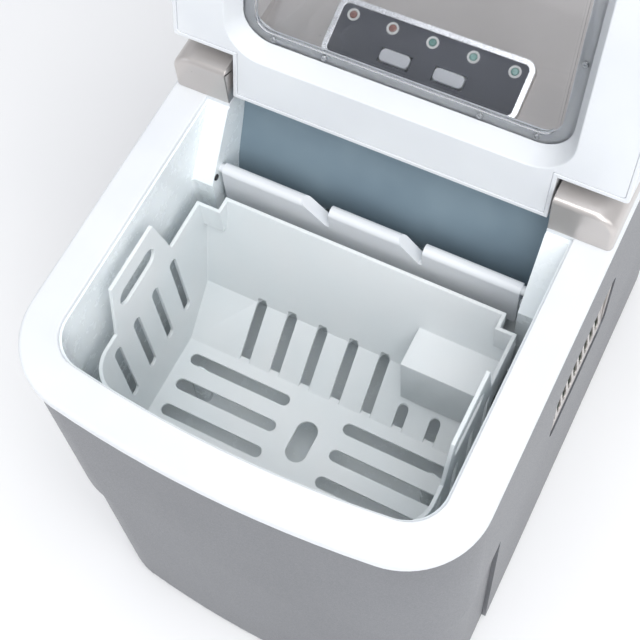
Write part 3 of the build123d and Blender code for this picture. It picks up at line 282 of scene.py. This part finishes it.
for node, slot_name in slot_of.items():
    mesh = cad(node).data
    mesh.materials.clear()
    mesh.materials.append(finishes[slot_name])


def piece(name, mesh, node, slot_name=None):
    """New piece on the body of a CAD node."""
    obj = bpy.data.objects.new(name, mesh)
    bpy.context.scene.collection.objects.link(obj)
    mesh.materials.clear()
    mesh.materials.append(finishes[slot_name or slot_of[node]])
    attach(obj, body_of[node])
    return obj


def plain(obj):
    """Evaluated copy of an object's mesh; the object itself goes."""
    graph = bpy.context.evaluated_depsgraph_get()
    mesh = bpy.data.meshes.new_from_object(obj.evaluated_get(graph), depsgraph=graph)
    bpy.data.objects.remove(obj)
    return mesh


def soften(node, width_mm, segments=3):
    """Stands for a CAD node with its sharp edges rounded, kept inside the node's own box."""
    mesh = cad(node).data.copy()
    work = bmesh.new()
    work.from_mesh(mesh)
    bmesh.ops.remove_doubles(work, verts=work.verts, dist=1e-6)
    bmesh.ops.dissolve_limit(work, angle_limit=radians(0.6), verts=work.verts, edges=work.edges)
    work.to_mesh(mesh)
    work.free()
    holder = bpy.data.objects.new("holder", mesh)
    bpy.context.scene.collection.objects.link(holder)
    rounding = holder.modifiers.new("edges", "BEVEL")
    rounding.width = width_mm * MM
    rounding.segments = segments
    rounding.limit_method = "ANGLE"
    rounding.angle_limit = radians(34)
    rounding.use_clamp_overlap = False
    rounding.harden_normals = True
    for face in mesh.polygons:
        face.use_smooth = True
    mesh.set_sharp_from_angle(angle=radians(34))
    made = plain(holder)
    low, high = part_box(node)
    for vert in made.vertices:
        vert.co = [min(max(vert.co[k], low[k]), high[k]) for k in range(3)]
    new = piece(f"{node}_finished", made, node)
    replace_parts(new, node)
    return new


# ---- Camera ----
azimuth = radians(38.23)
elevation = radians(60.03)
roll = radians(-11.38)
eye = (0.16544, -0.32043, 0.88299)
sensor_mm = 36
lens_mm = 77.37
framing_shift = (0.1167, -0.1286)
back = Vector((sin(azimuth) * cos(elevation), -cos(azimuth) * cos(elevation), sin(elevation)))
level = Vector((cos(azimuth), sin(azimuth), 0))
rise = back.cross(level)
right = cos(roll) * level + sin(roll) * rise
up = cos(roll) * rise - sin(roll) * level
camera = bpy.data.objects.new("camera", bpy.data.cameras.new("camera"))
bpy.context.scene.collection.objects.link(camera)
turn = Matrix((right, up, back)).transposed().to_4x4()
camera.matrix_world = Matrix.Translation(eye) @ turn
camera.data.sensor_width = sensor_mm
camera.data.lens = lens_mm
camera.data.shift_x, camera.data.shift_y = framing_shift
bpy.context.scene.camera = camera
bpy.context.scene.view_settings.view_transform = "Standard"

# ---- Floor and light ----
floor_mesh = bpy.data.meshes.new("floor")
reach = 6.0  # metres
floor_mesh.from_pydata([(-reach, -reach, 0), (reach, -reach, 0), (reach, reach, 0), (-reach, reach, 0)], [],
                       [(0, 1, 2, 3)])
floor = bpy.data.objects.new("floor", floor_mesh)
bpy.context.scene.collection.objects.link(floor)
floor_mesh.materials.append(shader(
    "pale_paper_sweep",
    Base_Color=lambda t: tone(t, 300, "#F7F7F7", "#F3F3F4", low=0.3),
    Roughness=0.9))

world = bpy.data.worlds.new("studio")
bpy.context.scene.world = world
world.use_nodes = True
world.node_tree.nodes["Background"].inputs["Color"].default_value = srgb("#F4F6FA")
world.node_tree.nodes["Background"].inputs["Strength"].default_value = 0.7


def softbox(name, place, aim, size, power, code="#FFFFFF"):
    """Large square light pointed at a spot."""
    lamp = bpy.data.lights.new(name, "AREA")
    lamp.shape = "RECTANGLE"
    lamp.size, lamp.size_y = size
    lamp.energy = power
    lamp.color = srgb(code)[:3]
    obj = bpy.data.objects.new(name, lamp)
    obj.location = place
    obj.rotation_mode = "QUATERNION"
    obj.rotation_quaternion = (Vector(place) - Vector(aim)).to_track_quat("Z", "Y")
    bpy.context.scene.collection.objects.link(obj)


softbox("top_softbox", (0.35, -0.4, 2.0), (0, 0, 0.25), (1.3, 1.3), 18)
softbox("right_softbox", (1.7, -0.3, 1.1), (0, 0, 0.2), (1.2, 1.2), 6)
softbox("left_softbox", (-1.6, -1.2, 0.9), (0, 0, 0.2), (1.0, 1.2), 3, "#F2F6FF")
softbox("camera_side_softbox", (0.95, -1.25, 1.35), (0, 0, 0.22), (1.0, 1.0), 12)

# ---- Softened mouldings and pressings ----
for node, width in (("rear_housing", 0.6), ("lid_frame", 0.4), ("lid_inner_panel", 0.6),
                    ("ice_basket", 0.4), ("panel_frame", 0.3), ("vent_grille_right", 0.3),
                    ("vent_grille_left", 0.3)):
    soften(node, width, 3 if width > 0.45 else 2)


# ---- Geometry nodes ----
def tree_with(name, sockets):
    """New tree with named inputs: the tree, its input node, its output node and the identifiers."""
    tree = bpy.data.node_groups.new(name, "GeometryNodeTree")
    tree.interface.new_socket("Geometry", in_out="INPUT", socket_type="NodeSocketGeometry")
    names = {label: tree.interface.new_socket(label, in_out="INPUT", socket_type=kind).identifier
             for label, kind in sockets.items()}
    tree.interface.new_socket("Geometry", in_out="OUTPUT", socket_type="NodeSocketGeometry")
    return tree, add(tree, "NodeGroupInput"), add(tree, "NodeGroupOutput"), names


def finish_tree(tree, source, end, geometry):
    """Realizes the instances and sets the material."""
    real = add(tree, "GeometryNodeRealizeInstances", {"Geometry": geometry})
    done = add(tree, "GeometryNodeSetMaterial", {"Geometry": real.outputs[0],
                                                 "Material": source.outputs["Material"]})
    tree.links.new(done.outputs[0], end.inputs[0])


def grown(name, tree, names, mesh, values):
    """Runs a tree on a mesh and gives back the plain result."""
    holder = bpy.data.objects.new(name, mesh)
    bpy.context.scene.collection.objects.link(holder)
    modifier = holder.modifiers.new("repeat", "NODES")
    modifier.node_group = tree
    for label, value in values.items():
        modifier[names[label]] = value
    return plain(holder)


# cross-recess screws with bevelled heads, each turned by chance as an assembler leaves them
screw_tree, source, end, screw_names = tree_with("cross_head_screws", {
    "Head Radius": "NodeSocketFloat", "Head Height": "NodeSocketFloat", "Shank Radius": "NodeSocketFloat",
    "Shank Length": "NodeSocketFloat", "Axis": "NodeSocketVector", "Seed": "NodeSocketInt",
    "Material": "NodeSocketMaterial"})
t = screw_tree
radius, height = source.outputs["Head Radius"], source.outputs["Head Height"]


def times(value, factor):
    """Product of two numbers or sockets, in the tree being built."""
    return add(t, "ShaderNodeMath", {0: value, 1: factor}, operation="MULTIPLY").outputs[0]


crown = add(t, "GeometryNodeMeshCone", {"Vertices": 32, "Side Segments": 1, "Depth": height,
                                        "Radius Top": times(radius, 0.8),
                                        "Radius Bottom": radius}).outputs["Mesh"]
lift = add(t, "ShaderNodeCombineXYZ", {"Z": height}).outputs[0]
for sizes in ((times(radius, 1.2), times(radius, 0.2)), (times(radius, 0.2), times(radius, 1.2))):
    size = add(t, "ShaderNodeCombineXYZ", {"X": sizes[0], "Y": sizes[1], "Z": times(height, 1.2)})
    bar = add(t, "GeometryNodeMeshCube", {"Size": size.outputs[0]}).outputs[0]
    raised = add(t, "GeometryNodeTransform", {"Geometry": bar, "Translation": lift}).outputs[0]
    crown = add(t, "GeometryNodeMeshBoolean", {"Mesh 1": crown, "Mesh 2": raised},
                operation="DIFFERENCE").outputs[0]
shank = add(t, "GeometryNodeMeshCylinder", {"Vertices": 20, "Radius": source.outputs["Shank Radius"],
                                            "Depth": source.outputs["Shank Length"]}).outputs["Mesh"]
sink = add(t, "ShaderNodeCombineXYZ", {"Z": times(source.outputs["Shank Length"], -0.5)}).outputs[0]
sunk = add(t, "GeometryNodeTransform", {"Geometry": shank, "Translation": sink}).outputs[0]
screw = add(t, "GeometryNodeJoinGeometry")
t.links.new(crown, screw.inputs[0])
t.links.new(sunk, screw.inputs[0])
spin = add(t, "FunctionNodeRandomValue", {"Seed": source.outputs["Seed"]}, data_type="FLOAT").outputs[1]
twist = add(t, "ShaderNodeCombineXYZ", {"Z": times(spin, pi)}).outputs[0]
aim = add(t, "FunctionNodeAlignRotationToVector", {"Vector": source.outputs["Axis"]}, axis="Z").outputs[0]
heads = add(t, "GeometryNodeInstanceOnPoints", {"Points": source.outputs["Geometry"],
                                                "Instance": screw.outputs[0], "Rotation": aim})
turned = add(t, "GeometryNodeRotateInstances", {"Instances": heads.outputs[0], "Rotation": twist})
finish_tree(t, source, end, turned.outputs[0])


def islands(node):
    """Vertex places of a CAD node's separate solids."""
    work = bmesh.new()
    work.from_mesh(cad(node).data)
    bmesh.ops.remove_doubles(work, verts=work.verts, dist=1e-6)
    left, groups = set(work.verts), []
    while left:
        stack, group = [left.pop()], []
        while stack:
            vert = stack.pop()
            group.append(vert.co.copy())
            for edge in vert.link_edges:
                other = edge.other_vert(vert)
                if other in left:
                    left.remove(other)
                    stack.append(other)
        groups.append(group)
    work.free()
    return groups


def screws(node, axis, head_radius, head_height, shank_radius, seed):
    """Recessed screws in place of a group of CAD screws of the same sizes."""
    axis = Vector(axis).normalized()
    seats, length = [], 0
    for group in islands(node):
        along = [v.dot(axis) for v in group]
        middle = sum((v - axis * v.dot(axis) for v in group), Vector()) / len(group)
        seats.append(middle + axis * (max(along) - head_height * MM))
        length = max(along) - min(along) - head_height * MM
    base = bpy.data.meshes.new("seats")
    base.from_pydata(sorted(seats, key=lambda v: tuple(round(c, 5) for c in v)), [], [])
    made = grown(f"{node}_recessed", screw_tree, screw_names, base, {
        "Head Radius": head_radius * MM, "Head Height": head_height * MM, "Shank Radius": shank_radius * MM,
        "Shank Length": length, "Axis": axis, "Seed": seed, "Material": finishes["steel"]})
    made.set_sharp_from_angle(angle=radians(30))
    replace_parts(piece(f"{node}_recessed", made, node), node)


lean = radians(11.58)  # of the open lid, from upright
screws("rear_screws", (0, 1, 0), 3.4, 1.4, 1.5, 3)
screws("window_screws", (0, -cos(lean), sin(lean)), 1.7, 0.8, 1.0, 8)

# pressed condenser fins, each one lightly rippled
fin_tree, source, end, fin_names = tree_with("rippled_fins", {
    "Count": "NodeSocketInt", "Pitch": "NodeSocketFloat", "Width": "NodeSocketFloat",
    "Height": "NodeSocketFloat", "Ripple": "NodeSocketFloat", "Thickness": "NodeSocketFloat",
    "Material": "NodeSocketMaterial"})
t = fin_tree
step = add(t, "ShaderNodeCombineXYZ", {"Y": source.outputs["Pitch"]}).outputs[0]
line = add(t, "GeometryNodeMeshLine", {"Count": source.outputs["Count"], "Offset": step}, mode="OFFSET")
sheet = add(t, "GeometryNodeMeshGrid", {"Size X": source.outputs["Width"], "Vertices X": 13,
                                        "Size Y": source.outputs["Height"], "Vertices Y": 41})
upright = add(t, "GeometryNodeTransform", {"Geometry": sheet.outputs["Mesh"], "Rotation": (pi / 2, 0, 0)})
place = add(t, "GeometryNodeInputPosition").outputs[0]
axes = add(t, "ShaderNodeSeparateXYZ", {0: place})
ripple_pitch = 5 * MM
wave = times(axes.outputs["X"], 2 * pi / ripple_pitch)
swing = add(t, "ShaderNodeMath", {0: wave}, operation="SINE").outputs[0]
scaled = times(swing, source.outputs["Ripple"])
move = add(t, "ShaderNodeCombineXYZ", {"Y": scaled}).outputs[0]
rippled = add(t, "GeometryNodeSetPosition", {"Geometry": upright.outputs[0], "Offset": move}).outputs[0]
thick = add(t, "GeometryNodeExtrudeMesh", {"Mesh": rippled, "Offset Scale": source.outputs["Thickness"],
                                           "Individual": False})
whole = add(t, "GeometryNodeJoinGeometry")
t.links.new(thick.outputs["Mesh"], whole.inputs[0])
t.links.new(add(t, "GeometryNodeFlipFaces", {"Mesh": rippled}).outputs[0], whole.inputs[0])
closed = add(t, "GeometryNodeMergeByDistance", {"Geometry": whole.outputs[0], "Distance": 1e-6}).outputs[0]
fins = add(t, "GeometryNodeInstanceOnPoints", {"Points": line.outputs["Mesh"], "Instance": closed})
finish_tree(t, source, end, fins.outputs[0])
low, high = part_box("condenser_fins")
fin_base = bpy.data.meshes.new("fin_base")
fin_count = len(islands("condenser_fins"))
cad_fin_thickness = 0.8 * MM
ripple_height = 0.3 * MM
sheet_thickness = 0.3 * MM
fin_mesh = grown("condenser_fins_pressed", fin_tree, fin_names, fin_base, {
    "Count": fin_count, "Pitch": (high.y - low.y - cad_fin_thickness) / (fin_count - 1),
    "Width": high.x - low.x, "Height": high.z - low.z, "Ripple": ripple_height,
    "Thickness": sheet_thickness, "Material": finishes["aluminium_sheet"]})
first_fin = ((low.x + high.x) / 2, low.y + cad_fin_thickness / 2, (low.z + high.z) / 2)
fin_mesh.transform(Matrix.Translation(first_fin))
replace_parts(piece("condenser_fins_pressed", fin_mesh, "condenser_fins"), "condenser_fins")

# small surface parts scattered over the main board, as seen through the side vent
chip_tree, source, end, chip_names = tree_with("surface_parts", {
    "Density": "NodeSocketFloat", "Seed": "NodeSocketInt", "Material": "NodeSocketMaterial"})
t = chip_tree
spots = add(t, "GeometryNodeDistributePointsOnFaces", {
    "Mesh": source.outputs["Geometry"], "Distance Min": 0.0035, "Density Max": source.outputs["Density"],
    "Seed": source.outputs["Seed"]}, distribute_method="POISSON")
block = add(t, "GeometryNodeMeshCube", {"Size": (0.0016, 0.003, 0.0012)}).outputs[0]
stretch = add(t, "FunctionNodeRandomValue", {0: (0.6, 0.6, 0.8), 1: (1.5, 1.4, 1.2),
                                             "Seed": source.outputs["Seed"]},
              data_type="FLOAT_VECTOR").outputs[0]
chips = add(t, "GeometryNodeInstanceOnPoints", {"Points": spots.outputs["Points"], "Instance": block,
                                                "Rotation": spots.outputs["Rotation"], "Scale": stretch})
finish_tree(t, source, end, chips.outputs[0])
low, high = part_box("main_board")
edge = 6 * MM
board_face = bpy.data.meshes.new("board_face")
board_face.from_pydata([(high.x, low.y + edge, low.z + edge), (high.x, high.y - edge, low.z + edge),
                        (high.x, high.y - edge, high.z - edge), (high.x, low.y + edge, high.z - edge)], [],
                       [(0, 1, 2, 3)])
chip_mesh = grown("board_surface_parts", chip_tree, chip_names, board_face, {
    "Density": 14000.0, "Seed": 7, "Material": finishes["black_plastic"]})
piece("board_surface_parts", chip_mesh, "main_board", "black_plastic")
